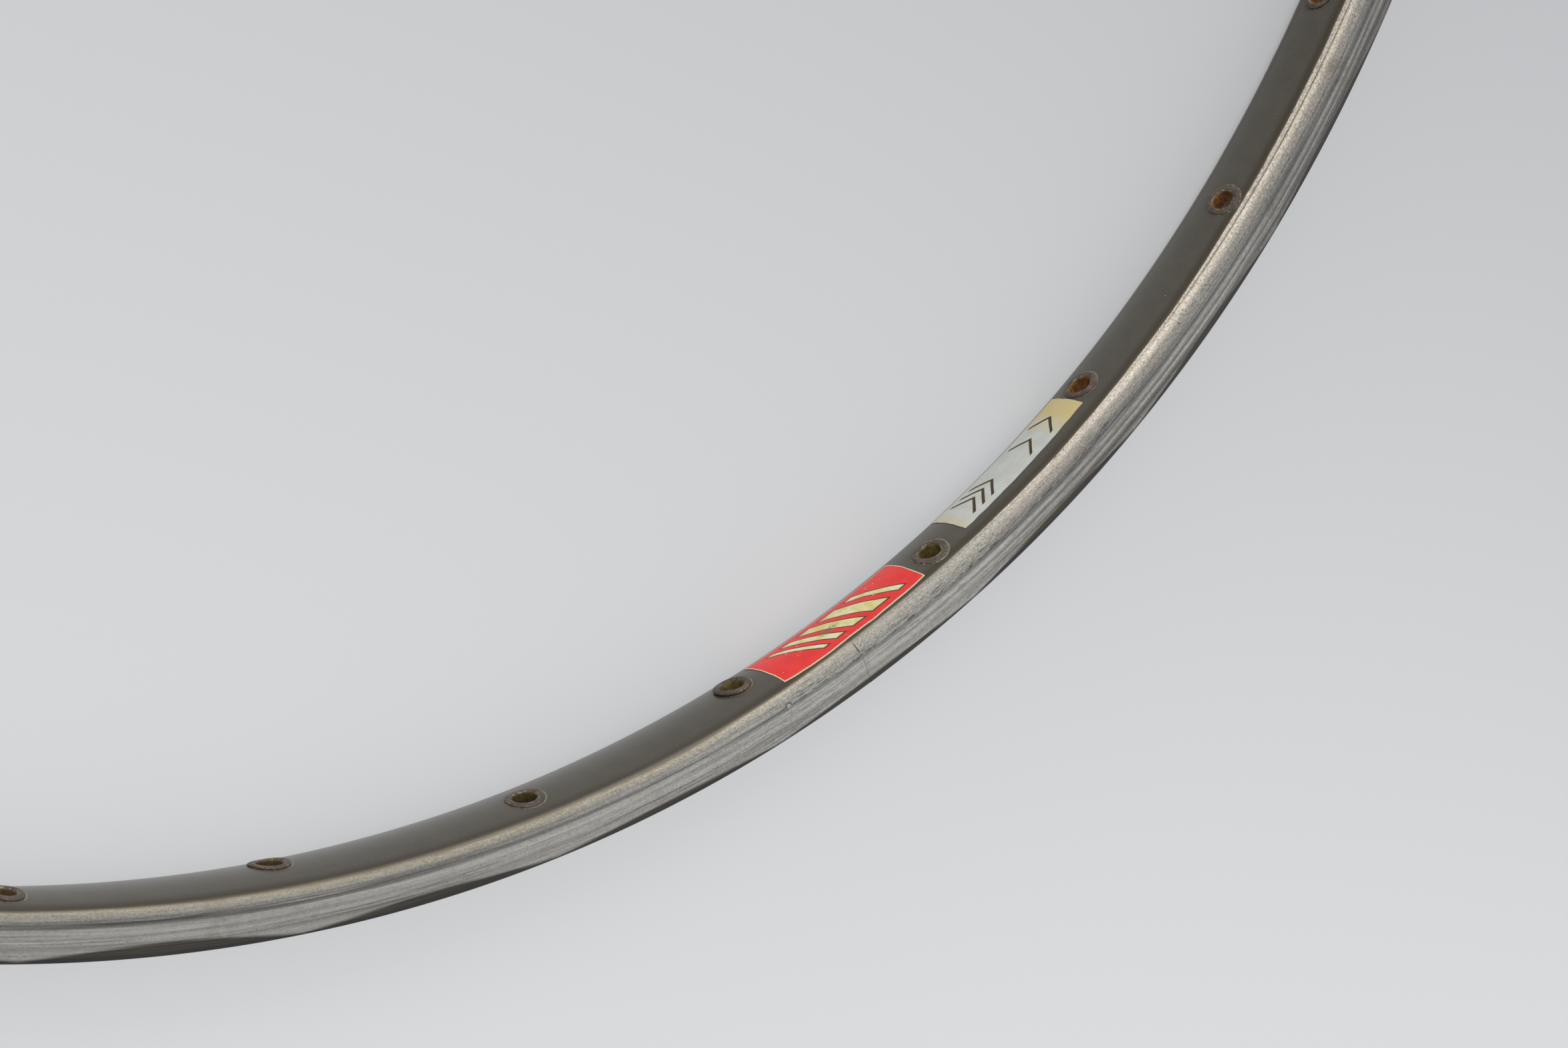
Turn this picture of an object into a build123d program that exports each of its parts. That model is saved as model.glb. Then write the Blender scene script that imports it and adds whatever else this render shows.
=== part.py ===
from build123d import *
import os
from math import atan2, cos, degrees, radians, sin

# A box-section racing rim for glued tubular tyres, lying flat with the wheel axis along Z.
# The origin is the wheel's centre, on the rim's mid-plane. The rim is one rolled extrusion:
# its two ends butt together near +X over a plug in the hollow chamber, and the valve hole
# is opposite, on -X. The spoke holes stand alternately above and below the mid-plane. Each
# is lined by an eyelet, and a wider hole in the tyre bed lets the spoke nipple in.
# Sections are drawn with x as the distance from the wheel axis and y as the height above
# the mid-plane. Lengths are in millimetres and angles in degrees.

# Extrusion: sizes across the rim are full widths, and rises are measured from the spoke face
rim_diameter = 633.0  # over the tyre lips
rim_width = 19.5  # over the two brake tracks
rim_depth = 10.0  # from the spoke face to the top of the lips
face_width = 9.6  # middle of the spoke face, which holds the spoke holes
crown_width = 14.0
crown_rise = 1.15
shoulder_width = 18.0
shoulder_rise = 2.6
track_rise = 5.0  # inner edge of the brake tracks
lip_height = 0.8
lip_width = 1.0
bed_depth = 3.0  # floor of the tyre bed, below the top of the lips
bed_width = 9.6
spoke_wall = 1.2
side_wall = 1.3
bed_wall = 1.1
chamber_floor_width = 9.6

# Joint between the two ends of the hoop
seam_angle = -0.5
seam_gap = 0.15
plug_length = 34.0
plug_clearance = 0.08

# Drilling
spoke_hole_count = 36
stagger = 1.46
access_hole_diameter = 8.2
valve_hole_diameter = 6.5
hole_sides = 6

# Eyelets
eyelet_bore = 4.6
eyelet_wall = 0.45
eyelet_flange_diameter = 7.8
eyelet_crest_diameter = 6.4
eyelet_proud = 0.6  # height of the rolled flange over the spoke face
eyelet_inside = 0.5  # length of the barrel inside the chamber
eyelet_clearance = 0.05
eyelet_sides = 8
round_bored_eyelets = 1  # the first eyelet has a true round bore; the others repeat it with flat sides

# Labels on the spoke face, each between two eyelets: edges are heights above the mid-plane,
# and gaps are measured along the spoke face from the eyelets' flanges
label_thickness = 0.12
label_glue = 0.03
red_label_low = -6.2
red_label_high = 6.2
red_label_start_gap = 2.8
red_label_end_gap = 2.0
silver_label_low = -6.8
silver_label_high = 3.4
silver_label_start_gap = 4.6
silver_label_end_gap = 0.2

# Places that follow from the sizes above
lip_r = rim_diameter / 2
face_r = lip_r - rim_depth
bed_r = lip_r - bed_depth
chamber_floor_r = face_r + spoke_wall
chamber_roof_r = bed_r - bed_wall
chamber_roof_width = rim_width - 2 * side_wall
hole_pitch = 360 / spoke_hole_count
bore_r = eyelet_bore / 2
barrel_r = bore_r + eyelet_wall
flange_r = eyelet_flange_diameter / 2
flange_reach = flange_r / cos(radians(180 / eyelet_sides))
# A flat flange touches the hollow of the spoke face at its two ends, so it stands a little off
flange_seat_r = face_r - flange_r**2 / face_r


def radial_plane(angle):
    """Plane through the wheel axis, at an angle from +X."""
    turn = radians(angle)
    return Plane(origin=(0, 0, 0), x_dir=(cos(turn), sin(turn), 0), z_dir=(sin(turn), -cos(turn), 0))


def drilling_plane(distance):
    """Plane across a spoke hole that points along +X, at a distance from the wheel axis."""
    return Plane(origin=(distance, 0, 0), x_dir=(0, 1, 0), z_dir=(1, 0, 0))


def hole_place(number, height=0):
    """Turn about the wheel axis that brings +X to a spoke hole, with a height above the mid-plane."""
    return Location((0, 0, height), (0, 0, (number - 0.5) * hole_pitch))


def row_height(number):
    """Height of a spoke hole above the mid-plane: odd ones are in the upper row."""
    return stagger if number % 2 else -stagger


def symmetric_outline(half):
    """Face of an outline that is given above the mid-plane and mirrored below it."""
    with BuildSketch() as sketch:
        with BuildLine():
            Polyline(*half, *[(x, -y) for x, y in reversed(half)], close=True)
        make_face()
    return sketch.sketch


rim_outline = symmetric_outline(
    [
        (face_r, face_width / 2),
        (face_r + crown_rise, crown_width / 2),
        (face_r + shoulder_rise, shoulder_width / 2),
        (face_r + track_rise, rim_width / 2),
        (lip_r - lip_height, rim_width / 2),
        (lip_r, rim_width / 2 - lip_width),
        (bed_r, bed_width / 2),
    ]
)
chamber_outline = symmetric_outline(
    [
        (chamber_floor_r, chamber_floor_width / 2),
        (chamber_roof_r, chamber_roof_width / 2),
    ]
)

# Holes along +X: one through the spoke wall, and a wider one through the tyre bed.
# The flats of a hole are as far from its axis as a round hole's wall would be.
chamber_middle_r = (chamber_floor_r + chamber_roof_r) / 2
with BuildPart() as spoke_hole:
    with BuildSketch(drilling_plane(face_r - spoke_wall)):
        RegularPolygon(barrel_r + eyelet_clearance, hole_sides, major_radius=False, rotation=90)
    extrude(amount=chamber_middle_r - face_r + spoke_wall)
with BuildPart() as access_hole:
    with BuildSketch(drilling_plane(chamber_middle_r)):
        RegularPolygon(access_hole_diameter / 2, hole_sides, major_radius=False, rotation=90)
    extrude(amount=lip_r - chamber_middle_r)

# Hoop: the hollow extrusion rolled round, with its spoke, access and valve holes
half_gap = degrees(seam_gap / face_r) / 2
hole_numbers = range(1, spoke_hole_count + 1)
with BuildPart() as rim_hoop:
    with BuildSketch(radial_plane(seam_angle + half_gap)):
        add(rim_outline)
        add(chamber_outline, mode=Mode.SUBTRACT)
    revolve(axis=Axis.Z, revolution_arc=360 - 2 * half_gap)
    with Locations([hole_place(number, row_height(number)) for number in hole_numbers]):
        add(spoke_hole.part, mode=Mode.SUBTRACT)
    with Locations([hole_place(number) for number in hole_numbers]):
        add(access_hole.part, mode=Mode.SUBTRACT)
    with Locations((-lip_r, 0, 0)):
        Cylinder(
            valve_hole_diameter / 2,
            2 * (rim_depth + spoke_wall),
            rotation=(0, 90, 0),
            mode=Mode.SUBTRACT,
        )

# Plug that holds the two ends of the hoop in line
plug_turn = degrees(plug_length / face_r)
with BuildPart() as joint_plug:
    with BuildSketch(radial_plane(seam_angle - plug_turn / 2)):
        add(chamber_outline)
        offset(amount=-plug_clearance, kind=Kind.INTERSECTION)
    revolve(axis=Axis.Z, revolution_arc=plug_turn)


def eyelet(round_bore):
    """Eyelet along +X: a rolled flange on the spoke face, and a barrel through the spoke wall."""
    barrel_end = chamber_floor_r + eyelet_inside
    crest_r = face_r - eyelet_proud
    roll_slope = degrees(atan2(flange_r - eyelet_crest_diameter / 2, flange_seat_r - crest_r))
    with BuildPart() as piece:
        with BuildSketch(drilling_plane(flange_seat_r)):
            RegularPolygon(flange_r, eyelet_sides, major_radius=False)
        extrude(amount=crest_r - flange_seat_r)
        sides = piece.faces().filter_by(Axis.X, reverse=True)
        draft(sides, neutral_plane=drilling_plane(flange_seat_r), angle=-roll_slope)
        with BuildSketch(drilling_plane(flange_seat_r)):
            RegularPolygon(barrel_r, eyelet_sides)
        extrude(amount=barrel_end - flange_seat_r)
        with BuildSketch(drilling_plane(crest_r)):
            if round_bore:
                Circle(bore_r)
            else:
                RegularPolygon(bore_r, eyelet_sides, major_radius=False)
        extrude(amount=barrel_end - crest_r, mode=Mode.SUBTRACT)
    return piece.part


def label(number, start_gap, end_gap, low, high):
    """Thin label that follows the spoke face, from one spoke hole on to the next."""
    start = (number - 0.5) * hole_pitch + degrees((flange_reach + start_gap) / face_r)
    end = (number + 0.5) * hole_pitch - degrees((flange_reach + end_gap) / face_r)
    crown_slope = crown_rise / (crown_width / 2 - face_width / 2)

    def face_at(height):
        return face_r + crown_slope * max(0, abs(height) - face_width / 2)

    bends = [height for height in (-face_width / 2, face_width / 2) if low < height < high]
    heights = [low, *bends, high]
    under = [(face_at(height) - label_glue, height) for height in heights]
    over = [(x - label_thickness, height) for x, height in under]
    with BuildPart() as piece:
        with BuildSketch(radial_plane(start)):
            with BuildLine():
                Polyline(*under, *reversed(over), close=True)
            make_face()
        revolve(axis=Axis.Z, revolution_arc=end - start)
    return piece.part


with BuildPart() as label_red:
    add(label(0, red_label_start_gap, red_label_end_gap, red_label_low, red_label_high))
with BuildPart() as label_silver:
    add(label(1, silver_label_start_gap, silver_label_end_gap, silver_label_low, silver_label_high))

pieces = {
    "rim_hoop": rim_hoop,
    "joint_plug": joint_plug,
    "label_red": label_red,
    "label_silver": label_silver,
}
round_bored_eyelet = eyelet(True)
flat_sided_eyelet = eyelet(False)
for number in hole_numbers:
    with BuildPart() as pieces[f"eyelet_{number:02d}"]:
        with Locations(hole_place(number, row_height(number))):
            add(round_bored_eyelet if number <= round_bored_eyelets else flat_sided_eyelet)

os.makedirs("parts", exist_ok=True)
for name, piece in pieces.items():
    piece.part.label = name
    export_step(piece.part, f"parts/{name}.step")
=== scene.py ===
import math
import random

import bmesh
import bpy
from mathutils import Matrix, Vector


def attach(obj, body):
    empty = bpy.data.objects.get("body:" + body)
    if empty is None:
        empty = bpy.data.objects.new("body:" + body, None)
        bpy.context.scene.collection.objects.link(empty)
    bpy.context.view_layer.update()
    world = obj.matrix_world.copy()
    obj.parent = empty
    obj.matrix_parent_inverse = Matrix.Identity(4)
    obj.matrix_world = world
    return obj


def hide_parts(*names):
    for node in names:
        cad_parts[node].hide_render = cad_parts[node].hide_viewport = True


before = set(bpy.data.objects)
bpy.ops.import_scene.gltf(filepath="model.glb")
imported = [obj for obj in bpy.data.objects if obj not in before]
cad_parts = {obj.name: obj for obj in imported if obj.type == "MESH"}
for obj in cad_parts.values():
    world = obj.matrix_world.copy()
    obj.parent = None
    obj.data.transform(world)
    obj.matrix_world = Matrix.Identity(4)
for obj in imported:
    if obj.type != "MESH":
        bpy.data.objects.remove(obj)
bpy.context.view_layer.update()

# Lengths below are in millimetres and angles in degrees, in the frame of the rim: the wheel
# axis is Z, and the seam of the hoop is near +X. Mesh points are turned into metres last.
MM = 0.001

# Section of the hoop: arcs that meet without a corner
CROWN_RADIUS = 21.0
CROWN_CENTRE = (327.4, 0.0)
CROWN_EDGE_Z = 7.02
CROWN_STEPS = 12
SHOULDER_RADIUS = 4.1
SHOULDER_CENTRE = (311.47, 5.65)
SHOULDER_START = (307.61, 7.02)
SHOULDER_STEPS = 9
TRACK_Z = 9.75
TRACK_STOPS = (312.9, 314.3)
LIP_RADIUS = 0.32
LIP_CENTRE = (316.38, 9.43)
LIP_STEPS = 5
LIP_INSIDE = [(316.7, 8.98), (316.65, 8.72), (316.494, 8.53)]
BED_RADIUS = 13.65
BED_CENTRE = (327.15, 0.0)
BED_STEPS = 8
CHAMBER = [(307.7, -4.8), (307.7, 4.8), (312.4, 8.45), (312.4, -8.45)]
CHAMBER_MIDDLE = (310.2, 0.0)
TINY = 1e-9
# Steps round the hoop, outside and in the chamber
OUTER_TURNS = 720
CHAMBER_TURNS = 240

# Distances from the axis where lengths round the rim are measured: the middle of the spoke
# face, its rows of holes, and the side. The last two are rounded
FACE_R = CROWN_CENTRE[0] - CROWN_RADIUS
ROWS_R = 306.5
SIDE_R = 310.0

SEAM_ANGLE = -0.5
SEAM_GAP = 0.05
# One end of the hoop stands proud at the seam: by how much, and the angles in which it fades
# and ends
SEAM_PROUD = 0.05
SEAM_FADE = 0.5
SEAM_REACH = 10.0

SPOKE_HOLES = 36
HOLE_STEP = 360.0 / SPOKE_HOLES
STAGGER = 1.46
SPOKE_HOLE_RADIUS = 2.8
SPOKE_HOLE_REACH = (303.0, 309.6)
ACCESS_HOLE_RADIUS = 4.1
ACCESS_HOLE_REACH = (310.6, 320.0)
VALVE_ANGLE = 180.0
VALVE_HOLE_RADIUS = 3.25
VALVE_HOLE_REACH = (303.0, 320.0)
DRILL_SIDES = 48

# Half of an eyelet's section: distance from the hole's axis, height over the spoke face, and
# how closely the point follows the bend of the face
EYELET_SECTION = [
    (2.75, -3.54, 0.0),
    (2.75, -0.60, 0.0),
    (2.78, -0.10, 0.5),
    (3.20, -0.02, 1.0),
    (3.70, -0.03, 1.0),
    (3.86, 0.04, 1.0),
    (3.92, 0.16, 1.0),
    (3.88, 0.30, 1.0),
    (3.76, 0.43, 1.0),
    (3.58, 0.53, 1.0),
    (3.34, 0.60, 1.0),
    (3.08, 0.60, 1.0),
    (2.84, 0.54, 0.9),
    (2.64, 0.40, 0.8),
    (2.48, 0.18, 0.6),
    (2.38, -0.10, 0.4),
    (2.32, -0.45, 0.2),
    (2.30, -0.90, 0.0),
    (2.28, -1.60, 0.0),
    (2.28, -3.00, 0.0),
    (2.34, -3.48, 0.0),
    (2.52, -3.60, 0.0),
]
EYELET_SIDES = 56
EYELET_SEED = 1000
# How far some eyelets stand out, as a share of the section above
PROUD = {1: 0.35, 2: 0.6, 3: 0.55, 33: 0.8, 34: 0.8, 35: 0.55, 36: 1.15}
# Eyelets that lean more than the rest: how much, and towards which angle
LEANING = {36: (0.16, math.radians(200))}
# The flange is bent out of shape, from where it rolls out of the bore, and the barrel is not
ROLL_START = 2.4
ROLL_WIDTH = 0.8
ROLL_LOWEST = -0.2

LABEL_COLUMNS = 96
LABEL_ROWS = 28
LABEL_THICKNESS = 0.12
LABEL_GLUE = 0.03
# Millimetres in one unit of a label's map
LABEL_MAP = 10.0
# Waves along a label's edges: how many, their range of rates, phases and sizes, a rounded full
# turn in radians, and the rounded distance from the axis that makes them angles
EDGE_WAVES = 5
EDGE_RATES = (3, 11)
EDGE_PHASES = (0, 6.3)
EDGE_SIZES = (0.01, 0.03)
EDGE_TURN = 6.28
EDGE_R = 306.0
# The angles where each label starts and ends, its lower edge, and heights along its upper edge
RED_ENDS = (-3.687, 3.837)
RED_LOW = -6.2
RED_HIGHS = [6.38, 6.62, 6.72, 6.44, 6.34, 6.3, 6.26, 6.06, 5.96]
SILVER_ENDS = (6.649, 14.173)
SILVER_LOW = -6.8
SILVER_HIGHS = [3.7, 3.4, 3.0]


def crown_r(z):
    """Distance of the spoke face from the wheel axis, at a height above the mid-plane."""
    return CROWN_CENTRE[0] - math.sqrt(CROWN_RADIUS**2 - z**2)


def polar(r, angle, z):
    """Point in metres, from a distance from the axis, an angle round it and a height."""
    turn = math.radians(angle)
    return (r * math.cos(turn) * MM, r * math.sin(turn) * MM, z * MM)


def arc(centre, radius, start, end, steps):
    """Points of an arc, after its first one. Angles are in radians."""
    points = []
    for step in range(1, steps + 1):
        turn = start + (end - start) * step / steps
        points.append((centre[0] + radius * math.cos(turn), centre[1] + radius * math.sin(turn)))
    return points


def hoop_outline():
    """Closed outline of the hoop's section, from the middle of the spoke face round by +Z."""
    crown_end = math.pi - math.asin(CROWN_EDGE_Z / CROWN_RADIUS)
    rise = SHOULDER_START[1] - SHOULDER_CENTRE[1]
    run = SHOULDER_START[0] - SHOULDER_CENTRE[0]
    shoulder_start = math.atan2(rise, run)
    bed_start = math.pi - math.asin(LIP_INSIDE[-1][1] / BED_RADIUS)
    upper = [(FACE_R, 0.0)]
    upper += arc(CROWN_CENTRE, CROWN_RADIUS, math.pi, crown_end, CROWN_STEPS)
    upper += arc(SHOULDER_CENTRE, SHOULDER_RADIUS, shoulder_start, math.pi / 2, SHOULDER_STEPS)
    upper += [(r, TRACK_Z) for r in (*TRACK_STOPS, LIP_CENTRE[0])]
    upper += arc(LIP_CENTRE, LIP_RADIUS, math.pi / 2, 0.0, LIP_STEPS)
    upper += LIP_INSIDE
    upper += arc(BED_CENTRE, BED_RADIUS, bed_start, math.pi, BED_STEPS)
    lower = [(r, -z) for r, z in reversed(upper[1:-1])]
    return upper + lower


def chamber_point(point):
    """Where the line from the middle of the section to a point of the outline meets the chamber."""
    ox, oy = CHAMBER_MIDDLE
    dx, dy = point[0] - ox, point[1] - oy
    best = None
    for index, (ax, ay) in enumerate(CHAMBER):
        bx, by = CHAMBER[(index + 1) % len(CHAMBER)]
        ex, ey = bx - ax, by - ay
        cross = dx * ey - dy * ex
        if abs(cross) < TINY:
            continue
        along = ((ax - ox) * ey - (ay - oy) * ex) / cross
        across = ((ax - ox) * dy - (ay - oy) * dx) / cross
        if along > 0 and -TINY <= across <= 1 + TINY:
            best = along if best is None else min(best, along)
    return (ox + dx * best, oy + dy * best)


def new_piece(name, vertices, faces):
    """Mesh object of its own with outward faces."""
    mesh = bpy.data.meshes.new(name)
    mesh.from_pydata(vertices, [], faces)
    shape = bmesh.new()
    shape.from_mesh(mesh)
    bmesh.ops.recalc_face_normals(shape, faces=shape.faces)
    shape.to_mesh(mesh)
    shape.free()
    piece = bpy.data.objects.new(name, mesh)
    bpy.context.scene.collection.objects.link(piece)
    return piece


def smooth(piece, sharp_from):
    """Smooth shading, with edges sharper than an angle kept."""
    piece.data.polygons.foreach_set("use_smooth", [True] * len(piece.data.polygons))
    piece.data.set_sharp_from_angle(angle=math.radians(sharp_from))


def seam_step(angle):
    """How far the hoop stands proud at an angle past the seam."""
    past = angle - SEAM_ANGLE
    return SEAM_PROUD * math.exp(-past / SEAM_FADE) if past < SEAM_REACH else 0.0


def hole_angle(number):
    """Angle of a spoke hole."""
    return (number - 0.5) * HOLE_STEP


def hole_height(number):
    """Height of a spoke hole: every second one is on the other side of the mid-plane."""
    return STAGGER if number % 2 else -STAGGER


def hoop_faces(starts, count, turns):
    """Faces round the outline and the chamber, and at the two ends that meet at the seam."""
    faces = []
    for start, steps in zip(starts, turns):
        for step in range(steps):
            low = start + step * count
            high = low + count
            for index in range(count):
                after = (index + 1) % count
                faces.append((low + index, low + after, high + after, high + index))
    for end in (0, 1):
        outer, inner = (start + end * steps * count for start, steps in zip(starts, turns))
        for index in range(count):
            after = (index + 1) % count
            faces.append((outer + index, outer + after, inner + after, inner + index))
    return faces


def drill(vertices, faces, angle, z, reach, radius):
    """Adds a closed cylinder along a radius of the wheel to a list of cutters."""
    first = len(vertices)
    turn = math.radians(angle)
    out = Vector((math.cos(turn), math.sin(turn), 0.0))
    side = Vector((-math.sin(turn), math.cos(turn), 0.0))
    up = Vector((0.0, 0.0, 1.0))
    for r in reach:
        for step in range(DRILL_SIDES):
            swing = math.tau * step / DRILL_SIDES
            ring = side * (radius * math.cos(swing)) + up * (radius * math.sin(swing) + z)
            vertices.append(tuple((out * r + ring) * MM))
    last = first + DRILL_SIDES
    for step in range(DRILL_SIDES):
        after = (step + 1) % DRILL_SIDES
        faces.append((first + step, first + after, last + after, last + step))
    faces.append(tuple(first + step for step in range(DRILL_SIDES)))
    faces.append(tuple(last + step for step in range(DRILL_SIDES)))


def drill_hoop(hoop):
    """Cuts the spoke holes, the access holes and the valve hole."""
    vertices = []
    faces = []
    for number in range(1, SPOKE_HOLES + 1):
        angle = hole_angle(number)
        drill(vertices, faces, angle, hole_height(number), SPOKE_HOLE_REACH, SPOKE_HOLE_RADIUS)
        drill(vertices, faces, angle, 0.0, ACCESS_HOLE_REACH, ACCESS_HOLE_RADIUS)
    drill(vertices, faces, VALVE_ANGLE, 0.0, VALVE_HOLE_REACH, VALVE_HOLE_RADIUS)
    cutter = new_piece("cutter", vertices, faces)
    cut = hoop.modifiers.new("holes", "BOOLEAN")
    cut.operation = "DIFFERENCE"
    cut.solver = "MANIFOLD"
    cut.object = cutter
    graph = bpy.context.evaluated_depsgraph_get()
    drilled = bpy.data.meshes.new_from_object(hoop.evaluated_get(graph))
    hoop.modifiers.clear()
    hoop.data = drilled
    hoop.data.materials.clear()
    bpy.data.objects.remove(cutter)


def make_hoop():
    """Hollow hoop, open by a thin gap at the seam."""
    outline = hoop_outline()
    chamber = [chamber_point(point) for point in outline]
    half_gap = math.degrees(SEAM_GAP / ROWS_R) / 2
    first_angle = SEAM_ANGLE + half_gap
    last_angle = SEAM_ANGLE + 360 - half_gap
    turns = (OUTER_TURNS, CHAMBER_TURNS)
    vertices = []
    starts = []
    for loop, steps in zip((outline, chamber), turns):
        starts.append(len(vertices))
        for step in range(steps + 1):
            angle = first_angle + (last_angle - first_angle) * step / steps
            for r, z in loop:
                vertices.append(polar(r + seam_step(angle), angle, z))
    hoop = new_piece("hoop", vertices, hoop_faces(starts, len(outline), turns))
    drill_hoop(hoop)
    smooth(hoop, sharp_from=35)
    return hoop


def make_eyelet(number):
    """Rolled eyelet, a little out of round, that follows the crown of the spoke face."""
    chance = random.Random(EYELET_SEED + number)
    oval = chance.uniform(0.005, 0.02)
    oval_turn = chance.uniform(0, math.tau)
    dent = chance.uniform(0.03, 0.10)
    dent_turn = chance.uniform(0, math.tau)
    tilt = chance.uniform(0.0, 0.05)
    tilt_turn = chance.uniform(0, math.tau)
    proud = PROUD.get(number, chance.uniform(0.5, 1.0))
    tilt, tilt_turn = LEANING.get(number, (tilt, tilt_turn))
    angle = hole_angle(number)
    z0 = hole_height(number)
    base = crown_r(z0)
    vertices = []
    faces = []
    count = len(EYELET_SECTION)
    for step in range(EYELET_SIDES):
        swing = math.tau * step / EYELET_SIDES
        for reach, height, follow in EYELET_SECTION:
            height *= proud if height > 0 else 1.0
            rolled = 0.0
            if height > ROLL_LOWEST:
                rolled = max(0.0, min(1.0, (reach - ROLL_START) / ROLL_WIDTH))
            wide = reach * (1 + rolled * oval * math.cos(2 * (swing - oval_turn)))
            lift = rolled * tilt * (1 + math.cos(swing - tilt_turn)) * (0.3 + max(0, height))
            sunk = rolled * dent * max(0.0, math.cos(swing - dent_turn)) ** 6
            along = wide * math.cos(swing)
            z = z0 + wide * math.sin(swing)
            r = base + follow * (crown_r(z) - base) - height - lift + sunk * max(0.0, height)
            vertices.append(polar(r, angle + math.degrees(along / FACE_R), z))
    for step in range(EYELET_SIDES):
        low = step * count
        high = ((step + 1) % EYELET_SIDES) * count
        for index in range(count):
            after = (index + 1) % count
            faces.append((low + index, low + after, high + after, high + index))
    piece = new_piece(f"eyelet_ring_{number:02d}", vertices, faces)
    # The map gives the place along the section and the turn round the hole to the material
    layer = piece.data.uv_layers.new(name="section")
    for corner in piece.data.loops:
        index = corner.vertex_index
        layer.data[corner.index].uv = ((index % count) / count, (index // count) / EYELET_SIDES)
    smooth(piece, sharp_from=60)
    return piece


def label_faces():
    """Faces of a label: its two sides, and the four edges between them."""
    size = (LABEL_COLUMNS + 1) * (LABEL_ROWS + 1)

    def at(side, column, row):
        return side * size + column * (LABEL_ROWS + 1) + row

    faces = []
    for column in range(LABEL_COLUMNS):
        for row in range(LABEL_ROWS):
            for side in (0, 1):
                faces.append((at(side, column, row), at(side, column + 1, row),
                              at(side, column + 1, row + 1), at(side, column, row + 1)))
    for column in range(LABEL_COLUMNS):
        for row in (0, LABEL_ROWS):
            faces.append((at(0, column, row), at(0, column + 1, row),
                          at(1, column + 1, row), at(1, column, row)))
    for row in range(LABEL_ROWS):
        for column in (0, LABEL_COLUMNS):
            faces.append((at(0, column, row), at(0, column, row + 1),
                          at(1, column, row + 1), at(1, column, row)))
    return faces


def make_label(name, ends, low, highs):
    """Thin label on the spoke face, with edges that wave a little. Its map gives its own lengths."""
    chance = random.Random(name)
    waves = []
    for _ in range(EDGE_WAVES):
        rate = chance.uniform(*EDGE_RATES)
        phase = chance.uniform(*EDGE_PHASES)
        waves.append((rate, phase, chance.uniform(*EDGE_SIZES)))

    def edge(place):
        return sum(size * math.sin(rate * place * EDGE_TURN + phase) for rate, phase, size in waves)

    def upper_edge(along):
        place = along * (len(highs) - 1)
        first = min(int(place), len(highs) - 2)
        return highs[first] + (highs[first + 1] - highs[first]) * (place - first) + edge(along)

    start, end = ends
    length = math.radians(end - start) * FACE_R
    vertices = []
    places = []
    for side in (0, 1):
        for column in range(LABEL_COLUMNS + 1):
            along = column / LABEL_COLUMNS
            high = upper_edge(along)
            for row in range(LABEL_ROWS + 1):
                across = row / LABEL_ROWS
                z = low + (high - low) * across
                angle = start + (end - start) * along
                angle += math.degrees(edge(across * 0.4 + along) / EDGE_R)
                r = crown_r(z) - LABEL_GLUE - LABEL_THICKNESS * side
                vertices.append(polar(r, angle, z))
                flat_z = low + (highs[0] - low) * across
                places.append((along * length / LABEL_MAP, flat_z / LABEL_MAP))
    piece = new_piece(name, vertices, label_faces())
    layer = piece.data.uv_layers.new(name="label")
    for corner in piece.data.loops:
        layer.data[corner.index].uv = places[corner.vertex_index]
    smooth(piece, sharp_from=40)
    return piece


# Depth of the fine relief of the materials, in metres
HOOP_RELIEF = 0.00006
EYELET_RELIEF = 0.00008
LABEL_RELIEF = 0.00004


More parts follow.
